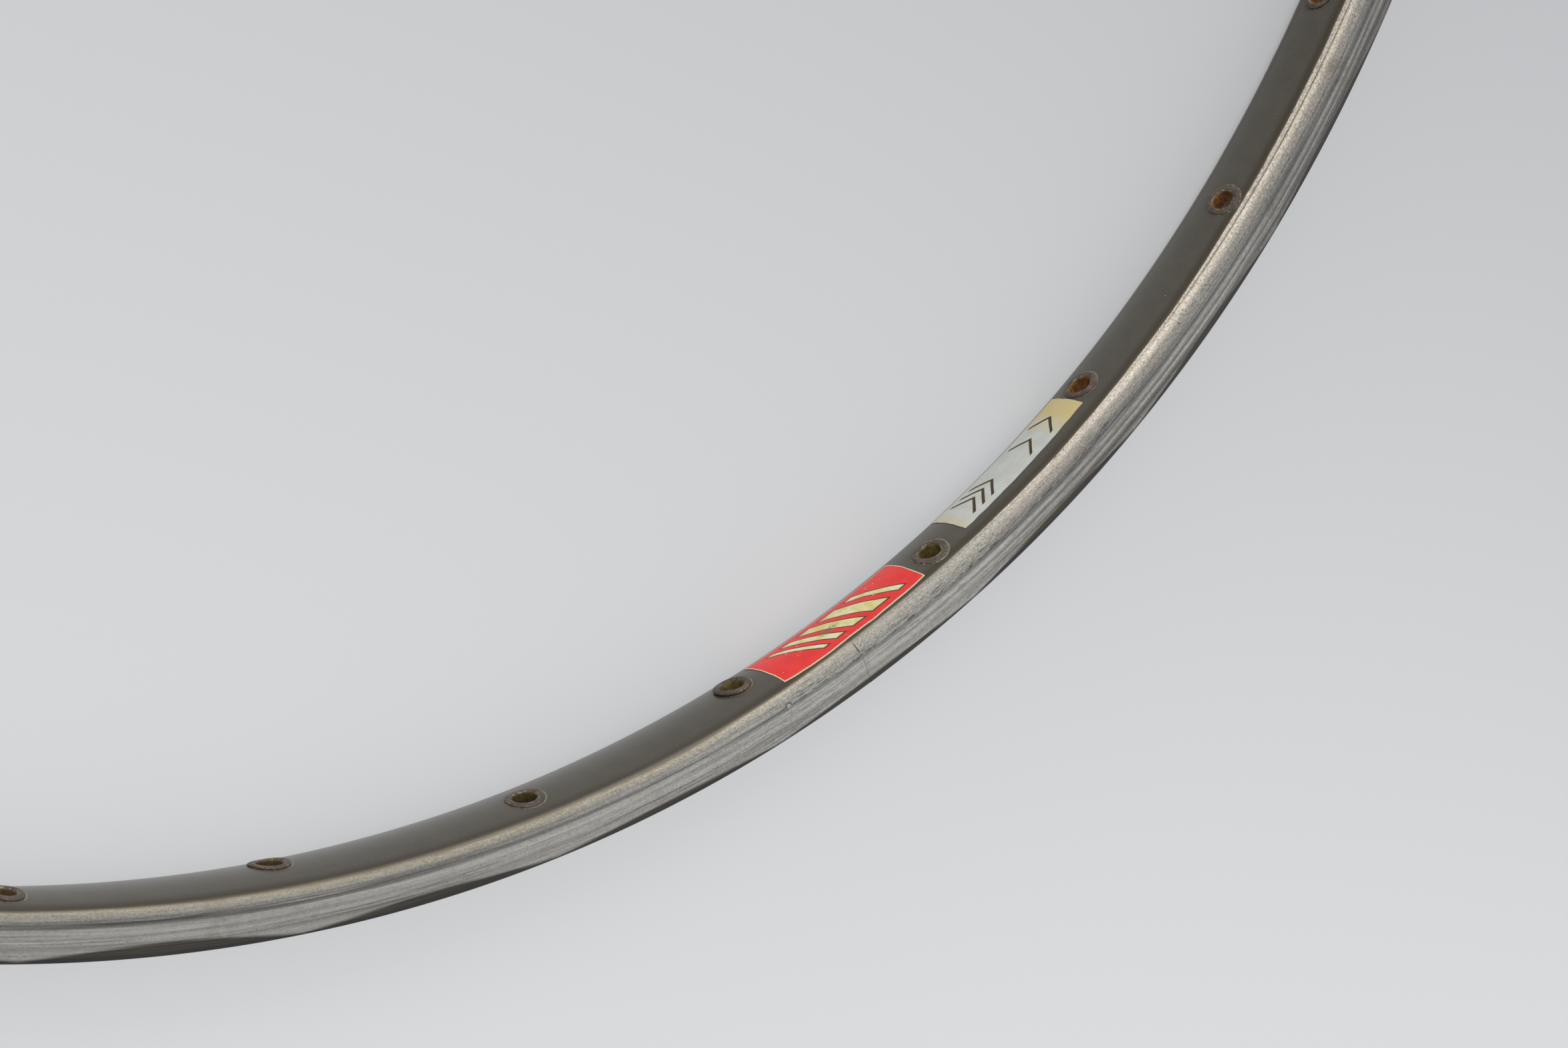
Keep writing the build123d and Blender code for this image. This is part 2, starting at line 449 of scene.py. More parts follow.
class Shader:
    """Short ways to make and join the nodes of one material."""

    def __init__(self, name):
        self.material = bpy.data.materials.new(name)
        self.material.use_nodes = True
        self.tree = self.material.node_tree
        self.surface = self.tree.nodes["Principled BSDF"]

    def node(self, kind, **settings):
        made = self.tree.nodes.new(kind)
        for key, value in settings.items():
            setattr(made, key, value)
        return made

    def put(self, socket, value):
        """Links a socket to an output, or gives it a plain value."""
        if hasattr(value, "is_output"):
            self.tree.links.new(value, socket)
        else:
            socket.default_value = value

    def math(self, operation, *values):
        made = self.node("ShaderNodeMath", operation=operation)
        for socket, value in zip(made.inputs, values):
            self.put(socket, value)
        return made.outputs[0]

    def chain(self, operation, values):
        made = values[0]
        for value in values[1:]:
            made = self.math(operation, made, value)
        return made

    def add(self, *values):
        return self.chain("ADD", values)

    def times(self, *values):
        return self.chain("MULTIPLY", values)

    def most(self, *values):
        return self.chain("MAXIMUM", values)

    def less(self, value, taken):
        return self.math("SUBTRACT", value, taken)

    def divide(self, value, divisor):
        return self.math("DIVIDE", value, divisor)

    def absolute(self, value):
        return self.math("ABSOLUTE", value)

    def flip(self, mask):
        return self.math("SUBTRACT", 1.0, mask)

    def line(self, value, slope, start):
        """Straight line: the value times a slope, plus a start."""
        return self.math("MULTIPLY_ADD", value, slope, start)

    def about(self, noise, gain):
        """Noise about zero instead of about a half, times a gain."""
        return self.times(self.less(noise, 0.5), gain)

    def ease(self, value, start, end, low=0.0, high=1.0):
        """Goes from one value to another while the input goes from start to end."""
        made = self.node("ShaderNodeMapRange", interpolation_type="SMOOTHSTEP")
        for socket, item in zip(made.inputs, (value, start, end, low, high)):
            self.put(socket, item)
        return made.outputs[0]

    def stripe(self, value, middle, half, soft):
        """Mask of a band round a middle value."""
        return self.ease(self.absolute(self.less(value, middle)), half + soft, half - soft)

    def vector(self, operation, *values):
        made = self.node("ShaderNodeVectorMath", operation=operation)
        for socket, value in zip(made.inputs, values):
            self.put(socket, value)
        return made.outputs["Value" if operation in ("LENGTH", "DOT_PRODUCT") else "Vector"]

    def combine(self, x, y, z):
        made = self.node("ShaderNodeCombineXYZ")
        for socket, value in zip(made.inputs, (x, y, z)):
            self.put(socket, value)
        return made.outputs[0]

    def separate(self, value):
        made = self.node("ShaderNodeSeparateXYZ")
        self.put(made.inputs[0], value)
        return made.outputs

    def length(self, x, y):
        return self.vector("LENGTH", self.combine(x, y, 0.0))

    def place_mm(self):
        """Place on the rim in millimetres."""
        place = self.node("ShaderNodeTexCoord").outputs["Object"]
        return self.vector("MULTIPLY", place, (1 / MM, 1 / MM, 1 / MM))

    def angle(self, x, y):
        """Angle round the wheel axis in degrees, from -180 to 180."""
        return self.math("DEGREES", self.math("ARCTAN2", y, x))

    def map_parts(self, name):
        """The two numbers of a map of the mesh."""
        parts = self.separate(self.node("ShaderNodeUVMap", uv_map=name).outputs[0])
        return parts[0], parts[1]

    def label_place(self):
        """Place along and across a label in millimetres."""
        along, across = self.map_parts("label")
        return self.times(along, LABEL_MAP), self.times(across, LABEL_MAP)

    def noise(self, vector, scale, detail=2.0, rough=0.5, w=None):
        made = self.node("ShaderNodeTexNoise", noise_dimensions="3D" if w is None else "4D")
        self.put(made.inputs["Vector"], vector)
        if w is not None:
            self.put(made.inputs["W"], w)
        made.inputs["Scale"].default_value = scale
        made.inputs["Detail"].default_value = detail
        made.inputs["Roughness"].default_value = rough
        return made.outputs[0]

    def spots(self, vector, scale):
        """Distance from the nearest of many scattered points."""
        made = self.node("ShaderNodeTexVoronoi", feature="F1")
        self.put(made.inputs["Vector"], vector)
        made.inputs["Scale"].default_value = scale
        return made.outputs["Distance"]

    def mix(self, factor, first, second, kind="MIX"):
        made = self.node("ShaderNodeMix", data_type="RGBA", blend_type=kind)
        self.put(made.inputs[0], factor)
        self.put(made.inputs[6], first)
        self.put(made.inputs[7], second)
        return made.outputs[2]

    def paint(self, colour, tone, *masks):
        """Lays a tone over a colour, where all the masks let it through."""
        return self.mix(self.times(*masks), colour, tone)

    def bump(self, height, strength, distance):
        made = self.node("ShaderNodeBump")
        made.inputs["Strength"].default_value = strength
        made.inputs["Distance"].default_value = distance
        self.put(made.inputs["Height"], height)
        return made.outputs[0]

    def set(self, **values):
        for key, value in values.items():
            self.put(self.surface.inputs[key.replace("_", " ")], value)


def rgb(red, green, blue):
    """Linear colour from 0 to 255 screen values."""

    def linear(value):
        value /= 255
        return value / 12.92 if value <= 0.04045 else ((value + 0.055) / 1.055) ** 2.4

    return (linear(red), linear(green), linear(blue), 1.0)


# Colours of the dark film. Where there are two, the material goes from one to the other
FILM = (rgb(72, 67, 58), rgb(77, 72, 63))
FILM_SHADED = rgb(40, 37, 32)
FILM_GRAIN = rgb(98, 93, 83)
FILM_BROWN = rgb(56, 49, 36)
FILM_THIN = rgb(104, 88, 62)
# Cracked film, with a painted highlight on the lit side of the eyelet rings
FILM_CRACKED_HIGHLIGHT = rgb(160, 151, 126)
FILM_NICKED = rgb(166, 160, 150)
LIP_FILM = (rgb(42, 39, 37), rgb(62, 54, 43))
# Painted contact shadow along the lip's outer edge
LIP_PAINTED_SHADOW = rgb(30, 28, 28)
GRIME = rgb(58, 50, 42)
BED = rgb(92, 88, 80)
GLUE = (rgb(93, 77, 51), rgb(112, 94, 63))
# Colours of the bare metal
TRACK = (rgb(167, 165, 159), rgb(134, 131, 127))
SHOULDER = (rgb(138, 134, 126), rgb(134, 129, 121))
# Pale shoulder metal with a painted highlight
SHOULDER_PALE_AND_HIGHLIGHT = (rgb(180, 170, 157), rgb(196, 186, 172))
CREAM = rgb(149, 142, 126)
SOOTY = rgb(78, 76, 74)
RUBBED = rgb(190, 188, 182)
BLACK_LANE = rgb(62, 60, 58)
GLINT = rgb(198, 190, 178)
CREASE = rgb(92, 82, 64)
DASH = rgb(58, 55, 53)
SMUDGE = rgb(56, 53, 52)
SOOT = rgb(64, 62, 62)
SHINE = rgb(200, 198, 193)
TARNISH = rgb(126, 114, 90)
PIT = rgb(60, 56, 53)
STAIN = rgb(96, 88, 72)
SEAM_LINE = rgb(56, 50, 46)
NICK_HOLLOW = rgb(196, 192, 184)
NICK_EDGE = rgb(48, 45, 44)

# Runs that are added up: from one angle to another, the value goes from the third number to
# the fourth. They give the height of the wear line, and the depth of the film along the lip
WEAR_RUNS = (
    (-9.0, 1.5, 8.36, 6.78),
    (8.0, 34.0, 0.0, -0.90),
    (60.0, 160.0, 0.0, 2.30),
    (-18.0, -28.0, 0.0, -0.18),
)
LIP_RUNS = (
    (-34.0, -4.0, 1.95, 1.05),
    (2.0, 8.0, 0.0, 0.45),
    (13.0, 17.0, 0.0, -0.4),
    (90.0, 170.0, 0.0, 0.85),
)
LIP_FILM_R = 316.35
# Zones of the section, by distance from the axis, where a mask goes from 0 to 1
FACE_ZONE = (309.0, 308.5)
TRACK_ZONE = (309.4, 310.2)
BED_ZONE = (313.3, 313.6)
LIP_ZONE = (313.6, 314.6)
LIP_SHADOW_ZONE = (315.4, 316.5)
# The same by height
BED_SIDES = (8.5, 8.0)
TOP_ZONE = (9.0, 9.3)
# The same by distance from the middle of an eyelet
RING_START = (3.75, 3.92)
RING_END = (4.45, 4.05)
GRIME_END = (5.2, 3.9)
# Lines round the rim: where the track starts, beside it, a smudged one, and a crease by height
BLACK_LANE_R = 310.25
DULL_LINE_R = 309.72
SMUDGE_R = 310.3
CREASE_Z = 7.08
# How much nearer to the mid-plane the wear is worked out on the lower side
LOWER_SHIFT = 1.7
# Lanes of the brake track: middle, half width, tone, strength on the left of the labels, and
# what is added to it on their right
LANES = (
    (310.65, 0.60, SOOTY, 0.50, 0.15),
    (311.75, 0.60, RUBBED, 0.60, 0.05),
    (312.60, 0.35, SOOTY, 0.10, 0.28),
    (313.25, 0.50, RUBBED, 0.55, 0.00),
    (314.38, 0.75, SOOTY, 0.26, 0.47),
)
# Stains across the metal: angle, half width and strength
STAINS = ((25.6, 3.0, 0.4), (31.9, 4.0, 0.45), (-28.0, 5.0, 0.25), (47.0, 4.0, 0.4))
# With this taken off, height plus distance from the axis goes from 0 on the shoulder to 12 at
# the lip
SWEEP_START = 314.6
NICK_ANGLE = -4.2
NICK_R = 310.4
NICK_STRETCH = 1.3


class HoopShader(Shader):
    """Dark film on the hoop, worn through to bare metal on the shoulders and the brake tracks."""

    def __init__(self):
        super().__init__("worn_anodised_aluminium")
        self.place = self.place_mm()
        self.x, self.y, self.z = self.separate(self.place)
        self.r = self.length(self.x, self.y)
        self.turn = self.angle(self.x, self.y)
        # The lower side has lost less of its film than the upper one
        self.height = self.most(self.z, self.less(-LOWER_SHIFT, self.z))
        self.sweep = self.add(self.height, self.less(self.r, SWEEP_START))
        self.make_noises()
        self.make_stretches()
        self.make_wear_line()
        self.make_lip_film()

    def drawn(self, along, across, detail=3.0, rough=0.55):
        """Noise with marks that are long round the rim and narrow across it, in millimetres."""
        vector = self.combine(self.divide(self.x, along), self.divide(self.y, along),
                              self.divide(self.z, across))
        return self.noise(vector, 1.0, detail, rough, w=self.divide(self.r, across))

    def polar_place(self, along, across):
        """Place for marks that are longer round the rim than across it, in millimetres."""
        return self.combine(self.times(self.turn, math.radians(SIDE_R) / along),
                            self.divide(self.r, across), self.divide(self.z, across))

    def round_at(self, angle):
        """Distance along the rim from an angle."""
        return self.times(self.less(self.turn, angle), math.radians(SIDE_R))

    def profile(self, runs):
        """Sum of runs along the rim."""
        return self.add(*[self.ease(self.turn, *run) for run in runs])

    def make_noises(self):
        """Noises that several of the marks share."""
        self.scratch = self.drawn(60.0, 0.20, 3.0, 0.6)
        self.streak = self.drawn(26.0, 0.32, 4.0, 0.62)
        self.band = self.drawn(60.0, 1.5, 2.0)
        self.crumb = self.noise(self.polar_place(0.55, 0.30), 1.0, 3.0, 0.65)
        self.mottle = self.noise(self.place, 0.25, 4.0, 0.6)
        self.grain = self.noise(self.place, 5.0, 3.0, 0.6)
        self.wander = self.noise(self.place, 0.06, 3.0, 0.6)
        self.flecks = self.noise(self.place, 1.5, 4.0, 0.7)

    def make_stretches(self):
        """Masks of stretches of the rim. The angle jumps at the valve hole, so none has an edge
        there."""
        turn = self.turn
        before_valve = self.ease(turn, 170.0, 100.0)
        by_valve = self.ease(turn, 110.0, 170.0)
        self.before_valve = before_valve
        # From the red label on, the wear has a crisp edge, and elsewhere a soft one
        self.crisp = self.times(self.ease(turn, -2.0, 3.0), self.ease(turn, 150.0, 90.0))
        self.soft = self.flip(self.crisp)
        # The rest go by where the photo shows them: its ends, and the two labels
        self.left_end = self.most(self.ease(turn, -8.0, -24.0), by_valve)
        self.shaded = self.most(self.ease(turn, 0.0, -9.0), by_valve)
        self.from_red = self.times(self.ease(turn, -9.0, -2.0), before_valve)
        self.by_labels = self.times(self.ease(turn, -7.0, -3.0), self.ease(turn, 18.0, 11.0))
        self.from_silver = self.times(self.ease(turn, 2.0, 14.0), self.crisp)
        self.past_silver = self.times(self.ease(turn, 12.0, 18.0), before_valve)
        self.right_end = self.times(self.ease(turn, 22.0, 27.0), before_valve)

    def make_wear_line(self):
        """Wear line on the shoulder, with bare metal past it: crisp from the red label on, and
        before it the film thins out slowly."""
        line = self.add(self.profile(WEAR_RUNS), self.about(self.wander, 0.6))
        ragged = self.about(self.streak, self.line(self.soft, 0.35, 0.15))
        self.past = self.less(self.height, self.add(line, ragged))
        start = self.line(self.soft, -0.15, -0.10)
        end = self.line(self.soft, 0.28, 0.12)
        left_on = self.times(self.ease(self.flecks, 0.58, 0.64), self.ease(self.past, 0.75, 0.3),
                             self.ease(self.wander, 0.45, 0.55))
        kept = self.flip(self.times(left_on, self.crisp))
        self.worn = self.times(self.ease(self.past, start, end), kept)

    def make_lip_film(self):
        """Scallops of dark film left along the lip, widest between the spoke holes."""
        from_hole = self.less(self.turn, hole_angle(1))
        wave = self.math("COSINE", self.times(from_hole, math.radians(SPOKE_HOLES)))
        scallop = self.math("POWER", self.times(self.flip(wave), 0.5), 0.6)
        uneven = self.line(self.noise(self.place, 0.02, 1.0, 0.5), 0.6, 0.7)
        depth = self.times(self.profile(LIP_RUNS), uneven)
        edge = self.less(LIP_FILM_R, self.times(scallop, depth))
        edge = self.add(edge, self.about(self.streak, 0.9))
        film = self.ease(self.less(self.r, edge), self.line(self.left_end, -0.20, -0.32), 0.20)
        self.bare = self.times(self.worn, self.flip(film))

    def film_colour(self):
        """Dark film: brown where it thins towards the wear line, and blacker along the lip, with a
        painted shadow at the lip's outer edge that is darkest at the left end.
        """
        dark = self.mix(self.ease(self.mottle, 0.3, 0.7), *FILM)
        dark = self.paint(dark, FILM_SHADED, self.shaded, 0.14)
        dark = self.paint(dark, FILM_GRAIN, self.ease(self.grain, 0.42, 0.66), 0.42)
        dark = self.paint(dark, FILM_BROWN, self.ease(self.past, -2.6, -0.7), 0.8)
        dark = self.paint(dark, FILM_THIN, self.ease(self.past, -0.6, -0.05), 0.5)
        lip_tone = self.mix(self.ease(self.streak, 0.40, 0.60), *LIP_FILM)
        dark = self.paint(dark, lip_tone, self.ease(self.r, *LIP_ZONE))
        # Painted contact shadow along the lip's outer edge, darkest at the left end
        outer = self.ease(self.r, *LIP_SHADOW_ZONE)
        return self.paint(dark, LIP_PAINTED_SHADOW, outer, self.line(self.left_end, 0.45, 0.35))

    def bed_glue(self, dark):
        """Old tyre glue in the bed."""
        between_lips = self.ease(self.absolute(self.z), *BED_SIDES)
        self.bed = self.times(self.ease(self.r, *BED_ZONE), between_lips)
        glue = self.add(self.noise(self.place, 0.10, 5.0, 0.65), self.about(self.streak, 0.3))
        glue = self.times(self.bed, self.ease(glue, 0.44, 0.56))
        tone = self.mix(self.ease(self.flecks, 0.35, 0.65), *GLUE)
        dark = self.paint(dark, BED, self.bed, 0.6)
        return self.paint(dark, tone, glue, 0.75)

    def eyelet_rings(self, dark):
        """Pale ring of cracked film round each eyelet, painted brighter on its lit side as a highlight,
        some grime round each eyelet, and nicks in the film.
        """
        station = self.math("FLOOR", self.divide(self.turn, HOLE_STEP))
        row = self.line(self.math("FLOORED_MODULO", station, 2.0), -2.0 * STAGGER, STAGGER)
        off_turn = self.less(self.less(self.turn, self.times(station, HOLE_STEP)), hole_angle(1))
        along = self.times(off_turn, math.radians(ROWS_R))
        across = self.less(self.z, row)
        off = self.length(along, across)
        on_face = self.ease(self.r, *FACE_ZONE)
        # The pale ring is painted brighter towards one side, as a highlight on its lit side
        lit_side = self.times(self.add(along, across), 0.0275)
        broken = self.add(self.noise(self.place, 0.8, 4.0, 0.75), lit_side)
        ring = self.times(self.ease(off, *RING_START), self.ease(off, *RING_END), on_face)
        ring = self.times(ring, self.ease(broken, 0.44, 0.56),
                          self.ease(self.flecks, 0.40, 0.56, 0.25, 1.0))
        first_hole = self.stripe(self.turn, hole_angle(1), 4.0, 0.5)
        dark = self.paint(dark, GRIME, self.ease(off, *GRIME_END), on_face, 0.4)
        dark = self.paint(dark, FILM_CRACKED_HIGHLIGHT, ring, self.line(first_hole, 0.35, 0.55))
        nicks = self.ease(self.spots(self.place, 0.16), 0.035, 0.02)
        return self.paint(dark, FILM_NICKED, nicks, self.ease(self.wander, 0.5, 0.6), 0.6)

    def metal_lanes(self):
        """Bare metal: a pale shoulder with a painted highlight band by the wear line, then a grey brake
        track with dark and light lanes.
        """
        metal = self.mix(self.from_silver, *TRACK)
        drift = self.times(self.ease(self.turn, 2.0, 20.0, 0.0, 0.48), self.before_valve)
        sway = self.add(self.about(self.band, 0.5), self.about(self.streak, 0.3))
        lane_r = self.add(self.less(self.r, drift), sway)
        for middle, half, tone, least, more in LANES:
            lane = self.stripe(lane_r, middle, half * 0.5, half * 0.5)
            metal = self.paint(metal, tone, lane, self.line(self.from_silver, more, least))
        shoulder = self.mix(self.from_silver, *SHOULDER)
        metal = self.paint(metal, shoulder, self.ease(self.sweep, 5.0, 3.4))
        metal = self.paint(metal, RUBBED, self.stripe(self.sweep, 5.1, 0.3, 0.4), self.past_silver, 0.4)
        dull = self.flip(self.past_silver)
        metal = self.paint(metal, SOOTY, self.stripe(self.r, DULL_LINE_R, 0.25, 0.25), dull, 0.30)
        # Pale bare metal with a painted highlight, in a band by the wear line on the crisp side
        pale_highlight = self.mix(self.past_silver, *SHOULDER_PALE_AND_HIGHLIGHT)
        inner = self.ease(self.sweep, self.line(self.past_silver, 0.6, 2.4), 0.4)
        metal = self.paint(metal, pale_highlight, inner, self.from_silver)
        return self.paint(metal, CREAM, self.ease(self.past, 1.2, 0.2), self.soft, 0.8)

    def edge_lines(self, metal):
        """Dark lane where the shoulder meets the track, darker ends, and lines by the wear line."""
        black = self.stripe(self.r, BLACK_LANE_R, 0.45, 0.45)
        black = self.times(black, self.line(self.left_end, 0.55, 0.10))
        black = self.times(black, self.ease(self.streak, 0.36, 0.56, 0.55, 1.25))
        metal = self.paint(metal, BLACK_LANE, self.math("MINIMUM", black, 1.0))
        dim = self.add(self.times(self.left_end, 0.20), self.times(self.right_end, 0.34))
        metal = self.paint(metal, SOOTY, self.ease(self.r, *TRACK_ZONE), dim)
        glint = self.times(self.stripe(self.past, 0.22, 0.16, 0.10), self.ease(self.turn, 5.0, 9.0))
        metal = self.paint(metal, GLINT, glint, self.crisp, self.ease(self.crumb, 0.30, 0.55, 0.3, 0.9))
        crease = self.stripe(self.height, CREASE_Z, 0.14, 0.20)
        crease = self.times(crease, self.ease(self.past, 0.2, 0.5))
        return self.paint(metal, CREASE, crease, self.crisp, self.ease(self.turn, 12.0, 24.0), 0.85)

    def drawn_marks(self, metal):
        """Grain, lines round the rim, and short dark dashes on the shoulder."""
        self.lined = self.times(self.ease(self.sweep, 2.0, 5.5, 0.6, 1.1),
                                self.line(self.from_red, 0.6, 1.0))
        grainy = self.times(self.ease(self.sweep, 3.5, 6.0, 2.0, 1.0),
                            self.line(self.left_end, -0.35, 1.0))
        grainy = self.add(grainy, self.times(self.past_silver, 0.5))
        shade = self.add(self.about(self.crumb, grainy), self.about(self.scratch, self.lined), 1.0)
        metal = self.mix(1.0, metal, self.combine(shade, shade, shade), "MULTIPLY")
        dashes = self.noise(self.polar_place(4.5, 0.22), 1.0, 2.0, 0.5)
        dashed = self.times(self.ease(self.sweep, 1.4, 3.2), self.ease(self.sweep, 6.8, 5.6, 0.55, 1.0))
        at_seam = self.times(self.stripe(self.turn, 0.2, 1.0, 0.8), 0.7)
        dashed = self.times(dashed, self.line(self.by_labels, 0.60, 0.20), self.flip(at_seam))
        metal = self.paint(metal, DASH, self.ease(dashes, 0.56, 0.66), dashed)
        smudges = self.noise(self.polar_place(2.6, 0.5), 1.0, 3.0, 0.6)
        smudge = self.times(self.stripe(self.r, SMUDGE_R, 0.26, 0.22), self.ease(smudges, 0.50, 0.60))
        return self.paint(metal, SMUDGE, smudge, self.by_labels, 0.7)

    def dirt(self, metal):
        """Streaks of soot and shine, tarnish, pits and stains."""
        self.soot = self.times(self.ease(self.streak, 0.52, 0.62), self.ease(self.band, 0.40, 0.56),
                               self.ease(self.sweep, 3.5, 5.5), 0.45)
        metal = self.paint(metal, SOOT, self.soot)
        shine = self.times(self.ease(self.streak, 0.43, 0.36), self.ease(self.band, 0.60, 0.46))
        metal = self.paint(metal, SHINE, shine, self.ease(self.sweep, 4.0, 6.0), 0.35)
        tarnish = self.ease(self.noise(self.place, 0.35, 4.0, 0.7), 0.56, 0.68)
        metal = self.paint(metal, TARNISH, tarnish, 0.2)
        pits = self.ease(self.spots(self.polar_place(1.1, 0.45), 1.0), 0.26, 0.10)
        pits = self.times(pits, self.ease(self.mottle, 0.50, 0.60))
        speckle = self.ease(self.noise(self.polar_place(0.7, 0.28), 1.0, 3.0, 0.6), 0.58, 0.70)
        speckle = self.times(speckle, self.ease(self.past, 0.3, 0.9), self.ease(self.past, 3.4, 2.0))
        speckle = self.times(speckle, self.ease(self.band, 0.40, 0.60), 0.8)
        self.pits = self.most(pits, speckle)
        metal = self.paint(metal, PIT, self.pits, 0.5)
        patches = self.ease(self.noise(self.place, 0.5, 4.0, 0.7), 0.42, 0.62)
        for angle, width, strength in STAINS:
            stain = self.ease(self.absolute(self.round_at(angle)), width, 0.0, 0.0, strength)
            metal = self.paint(metal, STAIN, stain, patches)
        return metal

    def seam_and_nick(self, metal):
        """Broken dark line at the seam, and a nick beside it."""
        crooked = self.about(self.noise(self.place, 0.8, 2.0), 0.5)
        seam = self.ease(self.absolute(self.add(self.round_at(SEAM_ANGLE), crooked)), 0.22, 0.06)
        broken = self.ease(self.noise(self.place, 0.45, 3.0, 0.6), 0.36, 0.50)
        metal = self.paint(metal, SEAM_LINE, seam, broken, self.ease(self.r, 309.2, 310.2, 0.85, 0.32))
        along = self.divide(self.round_at(NICK_ANGLE), NICK_STRETCH)
        from_nick = self.length(along, self.less(self.r, NICK_R))
        on_top = self.ease(self.z, *TOP_ZONE)
        metal = self.paint(metal, NICK_HOLLOW, self.ease(from_nick, 0.5, 0.2), on_top, 0.6)
        self.nick = self.times(self.stripe(from_nick, 0.52, 0.10, 0.10),
                               self.ease(self.r, 310.55, 310.2), on_top)
        return self.paint(metal, NICK_EDGE, self.nick, 0.8)

    def build(self):
        """Joins the film and the metal, and gives back the material."""
        dark = self.eyelet_rings(self.bed_glue(self.film_colour()))
        metal = self.drawn_marks(self.edge_lines(self.metal_lanes()))
        metal = self.seam_and_nick(self.dirt(metal))
        bare = self.bare
        rough_metal = self.times(bare, self.line(self.scratch, 0.20, 0.38))
        rough_film = self.times(self.flip(bare), self.line(self.grain, 0.10, 0.26))
        rough_dirt = self.add(self.times(self.soot, bare, 0.2), self.times(self.bed, 0.3))
        relief = self.times(self.add(self.times(self.scratch, self.lined), self.crumb), bare, 0.5)
        relief = self.add(relief, self.times(self.grain, 0.10))
        relief = self.less(relief, self.times(self.most(self.pits, self.nick), bare, 0.9))
        self.set(Base_Color=self.mix(bare, dark, metal), Metallic=self.line(bare, 0.4, 0.3),
                 Roughness=self.add(rough_metal, rough_film, rough_dirt),
                 Normal=self.bump(relief, 0.5, HOOP_RELIEF))
        return self.material


# Colours of the eyelets. The bores are ochre, and warmer past the silver label
EYELET_DARK = (rgb(46, 38, 36), rgb(84, 71, 63))
EYELET_RUST = (rgb(80, 56, 36), rgb(118, 86, 52))
OCHRE = (rgb(72, 58, 22), rgb(116, 96, 42))
OCHRE_WARM = (rgb(84, 52, 19), rgb(138, 86, 30))
OCHRE_DIM = rgb(50, 38, 20)
# Rubbed metal with painted glints on the flange and the lip of the bore
EYELET_RUBBED_GLINT = rgb(160, 148, 118)


def eyelet_material():
    """Dark rusted steel, with an ochre bore and rubbed edges that carry painted glints."""
    s = Shader("rusted_eyelet")
    place = s.place_mm()
    x, y, _ = s.separate(place)
    turn = s.angle(x, y)
    along, _ = s.map_parts("section")
    patches = s.noise(place, 0.9, 5.0, 0.65)
    fine = s.noise(place, 4.0, 4.0, 0.7)
    colour = s.mix(s.ease(fine, 0.35, 0.65), *EYELET_DARK)
    rusty = s.mix(s.ease(fine, 0.3, 0.7), *EYELET_RUST)
    colour = s.paint(colour, rusty, s.ease(patches, 0.52, 0.68), 0.6)
    warm = s.times(s.ease(turn, 9.0, 13.0), s.ease(turn, 60.0, 35.0))
    dim = s.times(s.ease(turn, -8.0, -12.0), s.ease(turn, -60.0, -35.0))
    unseen = s.times(s.ease(s.absolute(turn), 30.0, 50.0), s.noise(place, 0.03, 1.0, 0.5))
    warm = s.most(warm, unseen)
    low_ochre = s.mix(warm, OCHRE[0], OCHRE_WARM[0])
    high_ochre = s.mix(warm, OCHRE[1], OCHRE_WARM[1])
    ochre = s.mix(s.ease(patches, 0.38, 0.60), low_ochre, high_ochre)
    ochre = s.paint(ochre, OCHRE_DIM, dim, 0.6)
    colour = s.paint(colour, ochre, s.ease(along, 0.60, 0.68))
    # Rubbed grains with painted glints on the roll of the flange, and most of all on the lip of the
    # bore
    grains = s.ease(s.noise(place, 2.4, 4.0, 0.75), 0.46, 0.58)
    lip = s.times(s.ease(along, 0.52, 0.58), s.ease(along, 0.68, 0.62))
    roll = s.times(s.ease(along, 0.22, 0.30), s.ease(along, 0.60, 0.52))
    worn = s.line(lip, 0.85, s.times(roll, 0.26))
    glint = s.times(worn, grains, s.ease(s.noise(place, 0.5, 2.0), 0.38, 0.56))
    colour = s.paint(colour, EYELET_RUBBED_GLINT, glint)
    s.set(Base_Color=colour, Metallic=s.line(glint, 0.5, 0.2), Roughness=s.line(fine, 0.3, 0.42),
          Normal=s.bump(fine, 0.6, EYELET_RELIEF))
    return s.material


# Red label: bars by middle and half width, and the field inside its pale border
RED = (rgb(209, 26, 23), rgb(219, 40, 31))
RED_CREAM = (rgb(198, 184, 104), rgb(214, 208, 170))
RED_INK = rgb(58, 40, 34)
RED_BORDER = rgb(208, 194, 162)
RED_CHIP = rgb(196, 182, 150)
RED_SCUFF = rgb(98, 88, 78)
RED_SPECK = rgb(206, 178, 156)
RED_BARS = ((9.0, 0.7), (13.2, 1.1), (18.4, 1.6), (24.8, 2.2), (31.0, 1.0))
RED_BAR_MIDDLE = 0.2
RED_BAR_SLANT = 0.9
RED_OUTLINE = 0.42
RED_FIELD = 40.25


